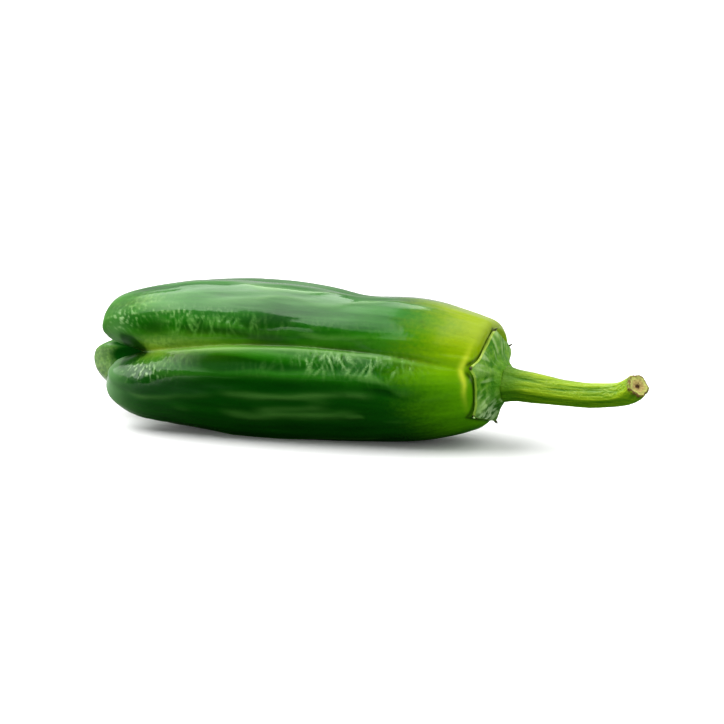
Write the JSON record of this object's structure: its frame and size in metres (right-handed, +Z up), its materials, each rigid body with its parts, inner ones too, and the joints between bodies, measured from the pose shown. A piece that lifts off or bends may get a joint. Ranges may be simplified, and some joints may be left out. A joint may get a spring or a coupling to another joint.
{
  "type": "padron pepper",
  "caption": "Small green chilli pepper lying on its side: a three-lobed furrowed pod with blunt lobe tips, a flat six-cornered calyx cap and a curved cut stalk.",
  "frame": {"origin": "centre of the bounding box in X and Y, on the surface that the pepper lies on", "axes": "+X along the pod towards the stalk, -Y the side that the picture shows, +Z up"},
  "size_m": [0.0946, 0.025, 0.0242],
  "materials": {
    "pod": "waxy glossy pepper skin, deep green, lime near the calyx",
    "calyx": "matte grey-green calyx with pale ridges",
    "stalk": "ribbed yellow-green stalk with a cut end"
  },
  "bodies": {
    "root": {"pod": "pod", "calyx": "calyx", "stalk": "stalk"}
  },
  "joints": []
}
